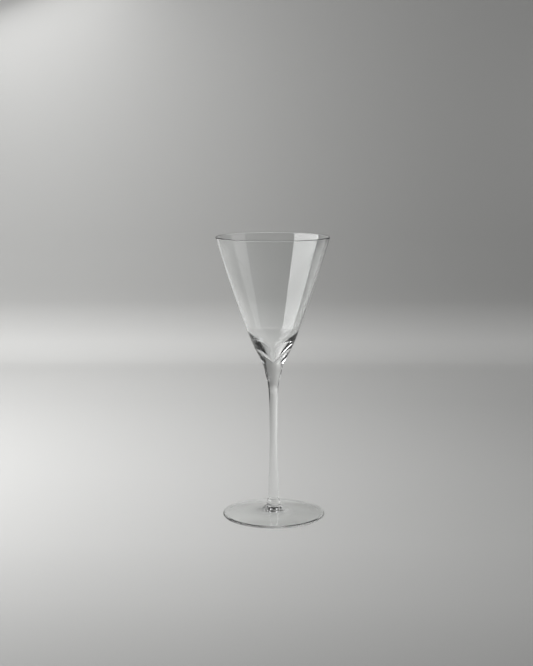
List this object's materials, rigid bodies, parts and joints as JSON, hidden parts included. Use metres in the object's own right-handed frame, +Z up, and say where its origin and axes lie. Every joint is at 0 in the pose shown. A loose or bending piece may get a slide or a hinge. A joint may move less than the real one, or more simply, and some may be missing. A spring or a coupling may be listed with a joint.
{
  "type": "martini glass",
  "caption": "Tall stemmed cocktail glass: a steep V-shaped bowl with a thick rounded bottom on a slim drawn stem and a wide round foot, in clear glass.",
  "frame": {"origin": "centre of the flat surface that the foot rests on", "axes": "+Z up along the axis of the stem and bowl, from the foot to the rim; X and Y are alike, because the glass is round"},
  "size_m": [0.0924, 0.0924, 0.23],
  "materials": {
    "clear_glass": "clear colourless glass, fire-polished"
  },
  "bodies": {
    "root": {"bowl": "clear_glass", "stem": "clear_glass", "foot": "clear_glass"}
  },
  "joints": []
}
